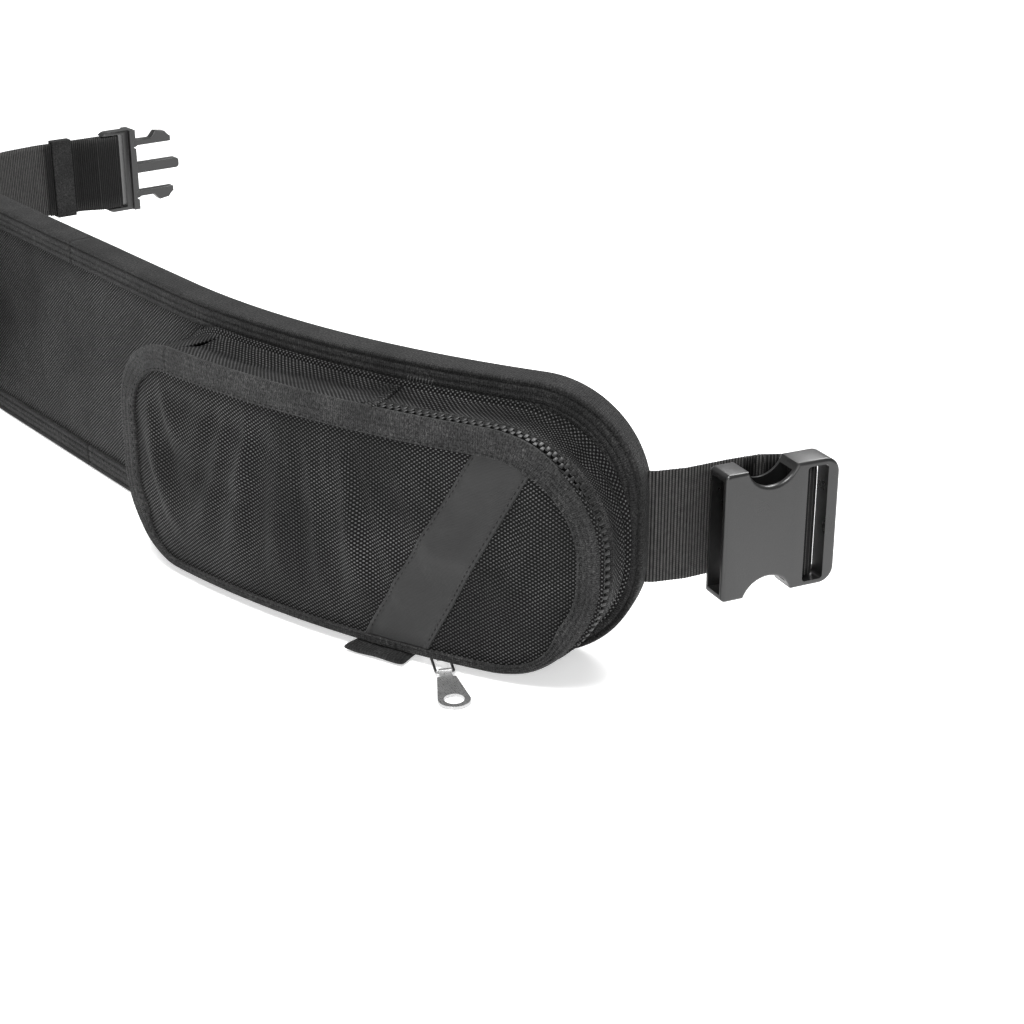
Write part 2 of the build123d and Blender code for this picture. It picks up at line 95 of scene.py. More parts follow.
padBox = beltBox("right_wing_binding")
pouchBox = beltBox("right_front_tape")
zipBox = beltBox("right_zip_tape")
chainBox = beltBox("right_zip_chain")
tabBox = beltBox("right_zip_garage")
frontBase = beltBox("right_pouch_front")[3]           # outer face of the pouch's front
webBox = beltBox("right_wing_webbing")
padThick = padBox[3] - padBox[2]


def smooth(value, low=0.0, high=1.0):
    t = min(max((value - low) / (high - low), 0), 1)
    return t * t * (3 - 2 * t)


def mix(a, b, t):
    return a + (b - a) * t


class Outline:
    # a rounded outline on a wing; the path runs along the top, round the far end and back below
    def __init__(self, near, far, low, high, farHigh, farLow, nearRound=0.0):
        self.near, self.far, self.low, self.high = near, far, low, high
        self.farHigh, self.farLow, self.nearRound = farHigh, farLow, nearRound

    def path(self, step=0.0025):
        # stations of (along, height, inward along, inward height, distance)
        top, low, far, near, r = self.high, self.low, self.far, self.near, self.nearRound
        runs = [("line", (near + r, top), (far - self.farHigh, top), (0, -1)),
                ("arc", (far - self.farHigh, top - self.farHigh), self.farHigh, 90),
                ("line", (far, top - self.farHigh), (far, low + self.farLow), (-1, 0)),
                ("arc", (far - self.farLow, low + self.farLow), self.farLow, 0),
                ("line", (far - self.farLow, low), (near + r, low), (0, 1))]
        if r > 0:
            runs += [("arc", (near + r, low + r), r, -90),
                     ("line", (near, low + r), (near, top - r), (1, 0)),
                     ("arc", (near + r, top - r), r, -180)]
        stations = []
        for kind, first, second, third in runs:
            if kind == "line":
                length = math.dist(first, second)
                if length < 1e-6:
                    continue
                count = max(1, round(length / step))
                for i in range(count + 1):
                    spot = [mix(first[k], second[k], i / count) for k in (0, 1)]
                    stations.append((*spot, *third))
            else:
                count = max(4, round(second * math.pi / 2 / step))
                for i in range(count + 1):
                    turn = math.radians(third - 90 * i / count)
                    c, s = math.cos(turn), math.sin(turn)
                    stations.append((first[0] + second * c, first[1] + second * s, -c, -s))
        kept, distance = [], 0.0
        for station in stations:
            if kept:
                gap = math.dist(kept[-1][:2], station[:2])
                if gap < 1e-6:
                    continue
                distance += gap
            kept.append((*station, distance))
        return kept

    def ends(self, height):
        # where a level row starts and stops
        def cut(radiusLow, radiusHigh):
            below = (radiusLow, self.low + radiusLow - height)
            above = (radiusHigh, height - self.high + radiusHigh)
            for radius, depth in (below, above):
                if radius > 0 and depth > 0:
                    return radius - math.sqrt(max(radius * radius - depth * depth, 0))
            return 0.0
        return self.near + cut(self.nearRound, self.nearRound), self.far - cut(self.farLow, self.farHigh)

    def rows(self, count):
        # heights, closer together where the corners turn level
        shares = [0.5 - 0.5 * math.cos(math.pi * mix(0.03, 0.97, i / count)) for i in range(1, count)]
        return [mix(self.low, self.high, share) for share in (0, *shares, 1)]


# ---- Making pieces ----

def formGrid(columns, rows, place, inside=None):
    # a grid set by place(column, row), which gives a point and its cloth coordinates
    bm = bmesh.new()
    bmesh.ops.create_grid(bm, x_segments=columns, y_segments=rows, size=0.5)
    clothMap = bm.loops.layers.uv.new("cloth")
    cloth = {}
    for v in bm.verts:
        spot, cloth[v] = place(round((v.co.x + 0.5) * columns), round((v.co.y + 0.5) * rows))
        v.co = spot
    for face in bm.faces:
        for loop in face.loops:
            loop[clothMap].uv = cloth[loop.vert]
    bmesh.ops.remove_doubles(bm, verts=bm.verts, dist=1e-6)
    if inside is not None:
        faceAway(bm, inside)
    return bm


def faceAway(bm, inside):
    bm.normal_update()
    if sum(face.normal.dot(face.calc_center_median() - inside) * face.calc_area() for face in bm.faces) < 0:
        bmesh.ops.reverse_faces(bm, faces=bm.faces)


def ribbon(path, profile, side):
    # a strip along a path; profile(station) gives (inward, out) pairs across it
    sections = [profile(station) for station in path]

    def place(column, row):
        along, height, inAlong, inHeight, distance = path[column]
        inward, out = sections[column][row]
        across = sum(math.dist(sections[column][k], sections[column][k + 1]) for k in range(row))
        spot = beltPoint(along + inAlong * inward, out, height + inHeight * inward, side)
        return spot, (distance, across)
    return formGrid(len(path) - 1, len(sections[0]) - 1, place)


def makePiece(bm, name, material, body, replaced=(), thick=0.0, rounding=0.0, subdivide=0):
    mesh = bpy.data.meshes.new(name)
    bm.to_mesh(mesh)
    bm.free()
    piece = bpy.data.objects.new(name, mesh)
    scene.collection.objects.link(piece)
    mesh.materials.append(material)
    mesh.shade_smooth()
    if subdivide:
        step = piece.modifiers.new("rounder", "SUBSURF")
        step.levels = step.render_levels = subdivide
    if thick:
        wall = piece.modifiers.new("cloth thickness", "SOLIDIFY")
        wall.thickness = thick
        wall.offset = -1
    if rounding:
        edge = piece.modifiers.new("soft edges", "BEVEL")
        edge.width = rounding
        edge.segments = 2
        edge.limit_method = "ANGLE"
        edge.angle_limit = math.radians(40)
    if body:
        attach(piece, body)
    if replaced:
        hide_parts(*replaced)
    return piece


def placing(origin, lengthways, lift, size):
    # a matrix for a shape that lies lengthways, standing along lift, with the size given
    x = lengthways.normalized()
    y = lift.cross(x).normalized()
    z = x.cross(y)
    turn = Matrix((x, y, z)).transposed().to_4x4()
    return Matrix.Translation(origin) @ turn @ Matrix.Diagonal((*size, 1))


stitchShape = {"length": 0.0022, "gap": 0.0010, "width": 0.00055, "height": 0.0004}


def stitchRow(bm, spots, lifts, length=None, gap=None):
    # a row of stitches along a line of points, each sunk a little into the cloth
    length = length or stitchShape["length"]
    gap = gap or stitchShape["gap"]
    travelled, due = 0.0, gap
    for k in range(len(spots) - 1):
        run = spots[k + 1] - spots[k]
        while travelled + run.length >= due + length / 2:
            share = (due + length / 2 - travelled) / run.length
            halves = (length / 2, stitchShape["width"] / 2, stitchShape["height"] / 2)
            matrix = placing(spots[k] + run * share, run, lifts[k], halves)
            bmesh.ops.create_icosphere(bm, subdivisions=1, radius=1, matrix=matrix)
            due += length + gap
        travelled += run.length
    return bm


def copyNode(node, name, material, body, rounding):
    # the node's own shape with its edges eased
    bm = bmesh.new()
    bm.from_mesh(frame["nodes"][node].data)
    bmesh.ops.remove_doubles(bm, verts=bm.verts, dist=1e-6)
    bmesh.ops.dissolve_limit(bm, angle_limit=math.radians(0.5), verts=bm.verts, edges=bm.edges)
    piece = makePiece(bm, name, material, body, [node], rounding=rounding)
    piece.data.set_sharp_from_angle(angle=math.radians(35))
    return piece


# ---- Finishes ----

class Nodes:
    # a material with its shader, and short ways to add nodes to it
    def __init__(self, name, roughness, **sockets):
        self.material = bpy.data.materials.new(name)
        self.material.use_nodes = True
        self.tree = self.material.node_tree
        self.shader = self.tree.nodes["Principled BSDF"]
        self.shader.inputs["Roughness"].default_value = roughness
        for socket, value in sockets.items():
            self.shader.inputs[socket.replace("_", " ")].default_value = value

    def add(self, kind, **settings):
        node = self.tree.nodes.new(kind)
        for setting, value in settings.items():
            setattr(node, setting, value)
        return node

    def link(self, source, target):
        self.tree.links.new(source, target)

    def calculate(self, operation, values):
        # one node for each two values, from the left
        result = values[0]
        for value in values[1:] or (0.0,):
            node = self.add("ShaderNodeMath", operation=operation)
            for socket, given in zip(node.inputs, (result, value)):
                if isinstance(given, (int, float)):
                    socket.default_value = given
                else:
                    self.link(given, socket)
            result = node.outputs[0]
        return result

    def times(self, *values):
        return self.calculate("MULTIPLY", values)

    def plus(self, *values):
        return self.calculate("ADD", values)

    def cloth(self):
        # the two cloth coordinates, in metres
        parts = self.add("ShaderNodeSeparateXYZ")
        self.link(self.add("ShaderNodeUVMap", uv_map="cloth").outputs[0], parts.inputs[0])
        return parts.outputs[0], parts.outputs[1]

    def place(self):
        return self.add("ShaderNodeTexCoord").outputs["Object"]

    def noise(self, scale, detail=3.0, source=None):
        node = self.add("ShaderNodeTexNoise")
        node.inputs["Scale"].default_value = scale
        node.inputs["Detail"].default_value = detail
        self.link(source or self.place(), node.inputs["Vector"])
        return node.outputs["Fac"]

    def wave(self, coordinate, pitch):
        # a sine that repeats every pitch
        return self.calculate("SINE", [self.times(coordinate, 2 * math.pi / pitch)])

    def ribs(self, coordinate, pitch, low=0.0):
        # the same wave, from low to one
        return self.range(self.wave(coordinate, pitch), -1, 1, low, 1.0)

    def ramp(self, value, stops):
        node = self.add("ShaderNodeValToRGB")
        self.link(value, node.inputs[0])
        while len(node.color_ramp.elements) < len(stops):
            node.color_ramp.elements.new(0.5)
        for element, (spot, colour) in zip(node.color_ramp.elements, stops):
            element.position = spot
            element.color = (*colour, 1)
        return node.outputs[0]

    def range(self, value, low, high, first=0.0, last=1.0):
        node = self.add("ShaderNodeMapRange")
        self.link(value, node.inputs["Value"])
        for socket, number in zip(("From Min", "From Max", "To Min", "To Max"), (low, high, first, last)):
            node.inputs[socket].default_value = number
        return node.outputs["Result"]

    def bump(self, height, distance):
        node = self.add("ShaderNodeBump")
        node.inputs["Strength"].default_value = 1.0
        node.inputs["Distance"].default_value = distance
        self.link(height, node.inputs["Height"])
        self.drive("Normal", node.outputs[0])

    def drive(self, socket, source):
        self.link(source, self.shader.inputs[socket])

    def colour(self, value, stops):
        # stops are (position, grey level), or (position, grey level, warmth)
        self.drive("Base Color", self.ramp(value, [(spot, grey(*tone)) for spot, *tone in stops]))


def grey(level, warm=0.0):
    return (level * (1 + warm), level, level * (1 - warm))


def wovenCloth(name, pitch, dark, light, roughness):
    # plain weave: yarns of two pitches that pass over and under in a chequer, with a painted highlight on
    # each float top and painted shade in the gaps between them
    made = Nodes(name, roughness, Sheen_Weight=0.02, Sheen_Roughness=0.4)
    u, v = made.cloth()
    floats = made.times(made.wave(u, 2 * pitch[0]), made.wave(v, 2 * pitch[1]))
    tops = made.range(floats, 0.0, 0.85)
    fade = made.range(made.noise(24, 3), 0.34, 0.66, 0.55, 1.0)
    floatHighlight = made.times(tops, fade, made.range(made.noise(700, 2), 0.3, 0.7, 0.65, 1.0))
    # painted highlight and shade: the float tops are coloured light and the gaps between yarns dark
    made.colour(floatHighlight, [(0.0, dark), (0.5, mix(dark, light, 0.30)), (1.0, light)])
    made.drive("Roughness", made.range(tops, 0, 1, roughness + 0.2, roughness - 0.12))
    made.drive("Specular IOR Level", made.range(floatHighlight, 0, 1, 0.12, 0.55))
    made.bump(made.plus(tops, made.times(made.noise(900, 2), 0.25)), 0.0003)
    return made.material


def ribbedTape(name, pitch, dark, light, depth):
    # fine ribs across the tape, broken up by loose fibres; the ribs are also painted lighter on their crests
    # and darker between them, as painted shade
    made = Nodes(name, 0.8, Sheen_Weight=0.04, Sheen_Roughness=0.5, Specular_IOR_Level=0.18)
    u, v = made.cloth()
    ribs = made.ribs(made.plus(u, made.times(made.noise(900, 2), pitch * 1.2)), pitch)
    yarns = made.ribs(v, pitch * 1.3)
    fibre = made.range(made.noise(1050, 3), 0.30, 0.72)
    wear = made.range(made.noise(60, 4), 0.35, 0.65, 0.7, 1.1)
    # painted shade: a quarter of the colour follows the ribs, darker in their troughs; fibre and wear are
    # the tape's own mottling
    level = made.times(made.plus(made.times(ribs, 0.25), made.times(fibre, 0.75)), wear)
    made.colour(level, [(0.15, dark), (0.6, mix(dark, light, 0.4)), (0.95, light, 0.02)])
    made.bump(made.plus(ribs, fibre, made.times(yarns, 0.4)), depth)
    return made.material


def webbingCloth():
    # ribs are in the shape; this paints light and shade across each rib in step with them, and adds the
    # yarns' own light and dark pattern
    made = Nodes("ribbed webbing", 0.6, Sheen_Weight=0.02, Specular_IOR_Level=0.15)
    u, v = made.cloth()
    ribs = made.ribs(u, strapShape["rib"])
    pairs = made.ribs(u, 2 * strapShape["rib"], 0.88)
    yarns = made.ribs(made.plus(v, made.times(u, 0.5)), 0.0009, 0.8)
    # painted shade and highlight: ribs darkens each rib's trough and lightens its crest; pairs and yarns are
    # the weave's own pattern
    level = made.times(ribs, pairs, yarns, made.range(made.noise(500, 3), 0.3, 0.7, 0.8, 1.0))
    made.colour(level, [(0.05, 0.001), (0.4, 0.008), (0.85, 0.066, 0.02)])
    made.bump(made.plus(ribs, made.times(yarns, 0.5)), 0.00012)
    return made.material


def spacerMesh():
    # the lining: rows of small round holes in a soft knit, with the holes painted dark as shade inside them
    made = Nodes("spacer mesh", 0.85, Sheen_Weight=0.08, Specular_IOR_Level=0.2)
    u, v = made.cloth()
    knit = made.range(made.times(made.wave(u, 0.0044), made.wave(v, 0.0038)), 0.25, 0.8, 1.0, 0.0)
    loops = made.ribs(made.plus(u, v), 0.0007, 0.7)
    shade = made.times(knit, loops, made.range(made.noise(60, 3), 0.3, 0.7, 0.8, 1.1))
    # painted shade: the holes, where knit falls to nought, are coloured nearly black
    made.colour(shade, [(0.0, 0.003), (1.0, 0.022)])
    made.bump(knit, 0.0005)
    return made.material


def smoothBand():
    # the label's tape: a close satin weave with a few slubs
    made = Nodes("satin tape", 0.55, Sheen_Weight=0.06, Sheen_Roughness=0.35, Specular_IOR_Level=0.3)
    v = made.cloth()[1]
    fine = made.ribs(made.plus(v, made.times(made.noise(300, 2), 0.0005)), 0.0007)
    level = made.plus(made.times(fine, 0.25), made.times(made.noise(45, 4), 0.75))
    made.colour(level, [(0.25, 0.012), (0.75, 0.024)])
    made.bump(made.plus(fine, made.times(made.noise(1200, 2), 0.8)), 0.00006)
    return made.material


def mouldedPlastic(name, dark, light, roughness, grain, specular):
    made = Nodes(name, roughness, Specular_IOR_Level=specular)
    fine, cloud = made.noise(grain, 3), made.noise(35, 3)
    made.colour(made.plus(made.times(fine, 0.3), made.times(cloud, 0.7)), [(0.3, dark), (0.7, light)])
    made.drive("Roughness", made.range(cloud, 0.3, 0.7, roughness - 0.06, roughness + 0.08))
    made.bump(fine, 0.00004)
    return made.material


def platedMetal(name, dark, light, roughness, metallic=1.0):
    # brushed along the pull
    made = Nodes(name, roughness, Metallic=metallic)
    brush = made.add("ShaderNodeMapping")
    made.link(made.place(), brush.inputs[0])
    brush.inputs["Rotation"].default_value = (0, 0, math.radians(27))
    brush.inputs["Scale"].default_value = (1, 8, 4)
    streaks, cloud = made.noise(500, 4, brush.outputs[0]), made.noise(180, 3)
    made.colour(made.plus(made.times(streaks, 0.6), made.times(cloud, 0.4)), [(0.3, dark), (0.7, light)])
    made.drive("Roughness", made.range(streaks, 0.3, 0.7, roughness - 0.08, roughness + 0.1))
    made.bump(streaks, 0.00003)
    return made.material


def threadFinish(name, dark, light):
    made = Nodes(name, 0.7, Specular_IOR_Level=0.12)
    twist = made.noise(2500, 3)
    made.colour(twist, [(0.3, dark), (0.7, light)])
    made.bump(twist, 0.00005)
    return made.material


strapShape = {"rib": 0.0014, "ribDepth": 0.00020, "thick": 0.00115, "rows": 12, "step": 0.00035,
              "ring": 0.0031, "neck": 0.0046}      # ring: round a bar; neck: where the runs meet again

# each weave's light level is the colour of a painted highlight on its float tops
coverCloth = wovenCloth("ballistic weave", (0.00112, 0.00086), 0.0016, 0.128, 0.55)
sideCloth = wovenCloth("open weave", (0.00106, 0.00106), 0.0016, 0.150, 0.50)
edgeTape = ribbedTape("edge tape", 0.0011, 0.004, 0.044, 0.00020)
frontTapeCloth = ribbedTape("ribbed tape", 0.0010, 0.008, 0.072, 0.00020)
zipCloth = ribbedTape("zip cloth", 0.0009, 0.003, 0.060, 0.00014)
elasticCloth = ribbedTape("elastic", 0.0016, 0.008, 0.040, 0.00035)
webCloth = webbingCloth()
liningCloth = spacerMesh()
labelCloth = smoothBand()
toothPlastic = mouldedPlastic("zip tooth plastic", 0.005, 0.012, 0.45, 900, 0.4)
bucklePlastic = mouldedPlastic("satin plastic", 0.003, 0.012, 0.30, 1400, 0.62)
pullMetal = platedMetal("satin plate", 0.34, 0.60, 0.30, 0.75)
wireMetal = platedMetal("dark plate", 0.16, 0.26, 0.35)
darkThread = threadFinish("black thread", 0.004, 0.020)
greyThread = threadFinish("grey thread", 0.040, 0.120)
print("finishes ready")

# ---- Pad: half the back section and one wing, shaped round the turn where they meet ----

pad = {"corner": 0.048, "edge": 0.001, "crown": 0.0009, "columns": 96, "rows": 48, "channelSink": 0.0011,
       "channelWidth": 0.0022, "channelRoom": 0.003, "bendFrom": -0.022, "bendTo": 0.024}
padOutline = Outline(-flatHalf, padBox[1], padBottom, padTop, pad["corner"], pad["corner"])
coreOutline = Outline(-flatHalf, padBox[1] - pad["edge"], padBottom + pad["edge"], padTop - pad["edge"],
                      pad["corner"] - pad["edge"], pad["corner"] - pad["edge"])
channelHeights = [webBox[4] - pad["channelRoom"], webBox[5] + pad["channelRoom"]]


def bend(piece):
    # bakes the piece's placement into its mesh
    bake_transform(piece)


def padSpot(column, row, outer):
    height = coreRows[row]
    near, far = coreOutline.ends(height)
    along = mix(near, far, column / pad["columns"])
    rim = min(height - coreOutline.low, coreOutline.high - height, far - along)
    swell = pad["crown"] * smooth(rim, 0.010, 0.022)
    swell += 0.0003 * noise.noise(Vector((along * 35, height * 40, 3.1 if outer else 8.2)))
    if not outer:
        for level in channelHeights:
            swell -= pad["channelSink"] * math.exp(-((height - level) / pad["channelWidth"]) ** 2)
    out = -pad["edge"] + swell if outer else -padThick + pad["edge"] - swell
    return along, out, height


coreRows = coreOutline.rows(pad["rows"])


def makePad(sideName, side):
    def place(column, row):
        along, out, height = padSpot(column, row, True)
        return beltPoint(along, out, height, side), (along, height)

    bm = formGrid(pad["columns"], pad["rows"], place)
    columnOf, rowOf = bm.verts.layers.float.new("column"), bm.verts.layers.float.new("row")
    lookup = {}
    for column in range(pad["columns"] + 1):
        for row in range(pad["rows"] + 1):
            lookup[tuple(round(c, 6) for c in place(column, row)[0])] = (column, row)
    for v in bm.verts:
        v[columnOf], v[rowOf] = lookup[tuple(round(c, 6) for c in v.co)]
    grown = bmesh.ops.extrude_face_region(bm, geom=bm.faces[:], use_keep_orig=True)
    for v in (item for item in grown["geom"] if isinstance(item, bmesh.types.BMVert)):
        along, out, height = padSpot(round(v[columnOf]), round(v[rowOf]), False)
        v.co = beltPoint(along, out, height, side)
    innerFaces = {item for item in grown["geom"] if isinstance(item, bmesh.types.BMFace)}
    bmesh.ops.recalc_face_normals(bm, faces=bm.faces)
    for face in bm.faces:
        face.material_index = 1 if face in innerFaces else 0
    replaced = [f"{sideName}_wing_{part}" for part in ("cover", "foam", "lining", "webbing")]
    if side > 0:
        replaced += ["back_cover", "back_foam", "back_lining", "back_webbing"]
    piece = makePiece(bm, f"{sideName}_pad", coverCloth, None, replaced)
    piece.data.materials.append(liningCloth)
    piece.data.set_sharp_from_angle(angle=math.radians(50))
    bend(piece)


# Binding: tape folded over the edge, with a thin outer roll and a flat band with sewn grooves
binding = {"width": 0.012, "roll": 0.0020, "groove": 0.0026, "ridge": 0.0060, "proud": 0.0008,
           "gather": 0.0006, "stitchIn": 0.0085, "stitchOut": 0.0006}
tackRow = {"near": 0.158, "far": 0.170, "count": 9, "length": 0.0034}


def bindingProfile(station):
    wide, roll, groove, ridge, proud = list(binding.values())[:5]
    fold = smooth(-station[2], 0.25, 0.95) * binding["gather"]    # the tape gathers round the far end
    face = [(wide, -0.0010), (wide - 0.0003, 0.0003), (wide - 0.0013, 0.0007), (wide - 0.0024, 0.0006),
            (wide - 0.0029, 0.0001 - fold), (wide - 0.0034, 0.0006), (ridge + 0.0005, 0.0007 + fold),
            (ridge, 0.0002 - fold), (ridge - 0.0005, 0.0006 + fold), (groove + 0.0006, 0.0005 + fold),
            (groove, -0.0004 - fold), (groove - 0.0005, 0.0003), (roll - 0.0006, proud),
            (roll / 2, proud + 0.0001), (0.0004, proud - 0.0003), (0.0001, -0.0003), (0.0, -0.0025)]
    back = [(inward, -padThick - out) for inward, out in reversed(face)]
    return face + [(0.0, -padThick / 2)] + back


def makeBinding(sideName, side):
    path = padOutline.path(0.003)
    bm = ribbon(path, bindingProfile, side)
    faceAway(bm, beltPoint(0.08, -padThick / 2, middle, side))
    replaced = [f"{sideName}_wing_binding"] + (["back_binding"] if side > 0 else [])
    piece = makePiece(bm, f"{sideName}_edge_binding", edgeTape, None, replaced, thick=0.0007)
    bend(piece)
    rows = bmesh.new()
    inward = binding["stitchIn"]
    for out, lift in ((binding["stitchOut"], 1), (-padThick - binding["stitchOut"], -1)):
        spots = [beltPoint(s[0] + s[2] * inward, out, s[1] + s[3] * inward, side) for s in path]
        stitchRow(rows, spots, [outward(s[0], side) * lift for s in path])
    for level in channelHeights:
        alongs = [mix(-flatHalf, padBox[1] - 0.013, k / 120) for k in range(121)]
        spots = [beltPoint(a, -padThick + pad["channelSink"] * 0.2, level, side) for a in alongs]
        stitchRow(rows, spots, [-outward(a, side) for a in alongs], 0.003, 0.0015)
    stitches = makePiece(rows, f"{sideName}_binding_stitches", darkThread, None)
    bend(stitches)
    tack = bmesh.new()
    for k in range(tackRow["count"]):
        along = mix(tackRow["near"], tackRow["far"], k / (tackRow["count"] - 1))
        spots = [beltPoint(along + lean, 0.0007, height, side)
                 for lean, height in ((0, padTop - 0.0100), (0.0009, padTop - 0.0062))]
        stitchRow(tack, spots, [outward(along, side)] * 2, tackRow["length"], 0.0001)
    makePiece(tack, f"{sideName}_bar_tack", greyThread, f"{sideName}_wing")


# ---- Pouch ----

# Ribbed tape round the front's edge: broad above and at the far end, a thin roll below
frontTape = {"broad": 0.0112, "thin": 0.0034, "thick": 0.0013, "thicker": 0.0011, "down": 0.0032,
             "setBack": 0.0030, "stitchAt": 0.90}
pouch = {"roundHigh": 0.050, "roundLow": 0.048, "roundNear": 0.040, "wall": 0.0012, "columns": 104,
         "rows": 46, "swell": 0.0045, "frames": 26, "pressure": 1.6, "slack": 0.014}
wall = pouch["wall"]
rounds = [pouch[name] for name in ("roundHigh", "roundLow", "roundNear")]
pouchOutline = Outline(pouchBox[0], pouchBox[1], pouchBox[4], pouchBox[5], *rounds)
frontOutline = Outline(pouchBox[0] + wall, pouchBox[1] - wall, pouchBox[4] + wall, pouchBox[5] - wall,
                       *(radius - wall for radius in rounds))
frontRows = frontOutline.rows(pouch["rows"])


def bandWidth(upward):
    # the tape's width where its edge faces up by that much
    return mix(frontTape["broad"], frontTape["thin"], smooth(upward, 0.55, 0.98))


def frontFlat(column, row):
    height = frontRows[row]
    near, far = frontOutline.ends(height)
    return mix(near, far, column / pouch["columns"]), height


# creases of the front: from, to (along, height), rise and width
frontFolds = [((0.060, 0.086), (0.112, 0.080), -0.0016, 0.0055),
              ((0.122, 0.090), (0.062, 0.034), 0.0014, 0.0060),
              ((0.048, 0.060), (0.090, 0.052), -0.0012, 0.0050),
              ((0.226, 0.086), (0.246, 0.058), 0.0010, 0.0045),
              ((0.200, 0.056), (0.236, 0.022), 0.0009, 0.0050),
              ((0.020, 0.030), (0.080, 0.020), 0.0010, 0.0060),
              ((0.150, 0.072), (0.120, 0.050), -0.0008, 0.0070)]


def foldLift(along, height):
    # creases pulled into the front by what it carries
    lift = 0.0
    for first, last, rise, width in frontFolds:
        run = (last[0] - first[0], last[1] - first[1])
        share = ((along - first[0]) * run[0] + (height - first[1]) * run[1]) / (run[0] ** 2 + run[1] ** 2)
        share = min(max(share, 0), 1)
        gap = math.hypot(along - first[0] - run[0] * share, height - first[1] - run[1] * share)
        lift += rise * math.exp(-(gap / width) ** 2)
    return lift + 0.0009 * noise.noise(Vector((along * 32, height * 30, 7.7)))


def edgeState(along, height):
    # distance in from the pouch's outline, and how far that edge faces up
    across = min(pouchOutline.far - along, along - pouchOutline.near)
    upward = min(pouchOutline.high - height, height - pouchOutline.low)
    below = 1 if height < middle else -1
    if along < (pouchOutline.near + pouchOutline.far) / 2:
        radius = pouchOutline.nearRound
    else:
        radius = pouchOutline.farLow if height < middle else pouchOutline.farHigh
    if across < radius and upward < radius:
        reach = math.hypot(radius - across, radius - upward)
        return radius - reach, below * (radius - upward) / max(reach, 1e-6)
    return (across, 0.0) if across < upward else (upward, below)


def plainSwell(along, height):
    u = (along - frontOutline.near) / (frontOutline.far - frontOutline.near)
    v = (height - frontOutline.low) / (frontOutline.high - frontOutline.low)
    return max(0.0, math.sin(math.pi * min(max(u, 0), 1)) * math.sin(math.pi * min(max(v, 0), 1))) ** 0.6


def relaxFront():
    # the front panel laid flat, sewn round its edge, with slack cloth pushed out from behind
    bm = bmesh.new()
    bmesh.ops.create_grid(bm, x_segments=pouch["columns"], y_segments=pouch["rows"], size=0.5)
    for v in bm.verts:
        column, row = round((v.co.x + 0.5) * pouch["columns"]), round((v.co.y + 0.5) * pouch["rows"])
        along, height = frontFlat(column, row)
        lean = 0.0006 * noise.noise(Vector((along * 60, height * 45, 1.7)))
        v.co = (along, -0.0015 * plainSwell(along, height) - lean, height)
    bm.normal_update()
    if sum(face.normal.y for face in bm.faces) > 0:
        bmesh.ops.reverse_faces(bm, faces=bm.faces)
    sewn = [v.index for v in bm.verts if v.is_boundary]
    bm.verts.index_update()
    mesh = bpy.data.meshes.new("frontTrial")
    bm.to_mesh(mesh)
    bm.free()
    trial = bpy.data.objects.new("frontTrial", mesh)
    scene.collection.objects.link(trial)
    trial.vertex_groups.new(name="sewn").add(sewn, 1.0, "REPLACE")
    cloth = trial.modifiers.new("cloth", "CLOTH")
    cloth.settings.quality = 8
    cloth.settings.mass = 0.25
    cloth.settings.tension_stiffness = cloth.settings.compression_stiffness = 25
    cloth.settings.shear_stiffness = 12
    cloth.settings.bending_stiffness = 0.6
    cloth.settings.vertex_group_mass = "sewn"
    cloth.settings.use_pressure = True
    cloth.settings.uniform_pressure_force = pouch["pressure"]
    cloth.settings.shrink_min = -pouch["slack"]
    cloth.settings.effector_weights.gravity = 0.6
    cloth.collision_settings.use_collision = False
    for number in range(1, pouch["frames"] + 1):
        scene.frame_set(number)
    relaxed = trial.evaluated_get(bpy.context.evaluated_depsgraph_get()).to_mesh()
    spots = [v.co.copy() for v in relaxed.vertices]
    faces = [tuple(face.vertices) for face in relaxed.polygons]
    fullest = max(-p.y for p in spots)
    print(f"front cloth stands {fullest * 1000:.1f} mm proud, eased to {pouch['swell'] * 1000:.1f} mm")
    for p in spots:
        p.y *= pouch["swell"] / fullest
    scene.frame_set(1)
    bpy.data.objects.remove(trial)
    return BVHTree.FromPolygons(spots, faces)


frontTree = relaxFront()


def frontOut(along, height):
    # how far out the front's cloth stands there
    if frontTree is None:
        rise = pouch["swell"] * plainSwell(along, height)
    else:
        hit = frontTree.ray_cast(Vector((along, -1, height)), Vector((0, 1, 0)))[0]
        rise = max(-hit.y, 0) if hit else 0
    distance, upward = edgeState(along, height)
    width = bandWidth(upward)
    free = smooth(distance, width, width + 0.020) * smooth(height - pouchOutline.low, 0.002, 0.045)
    sunk = 0.0005 * math.exp(-((distance - width - 0.001) / 0.0025) ** 2)
    return frontBase + (rise + foldLift(along, height)) * free - sunk


def makeFront(sideName, side):
    def place(column, row):
        along, height = frontFlat(column, row)
        return beltPoint(along, frontOut(along, height), height, side), (along, height)

    bm = formGrid(pouch["columns"], pouch["rows"], place, beltPoint(0.13, -0.05, middle, side))
    piece = makePiece(bm, f"{sideName}_pouch_face", coverCloth, f"{sideName}_wing",
                      [f"{sideName}_pouch_front", f"{sideName}_shot_bag"], thick=0.0011, subdivide=1)


# Side wall: a narrow foot on the pad, then mesh that sags a little between the pad and the zip
gusset = {"foot": 0.0016, "sag": 0.0004, "pucker": 0.0003, "puckerPitch": 0.0095, "levels": 14,
          "stitchIn": 0.0030, "stitchOut": 0.0009}
zipStart = {"top": 0.155, "low": 0.177}
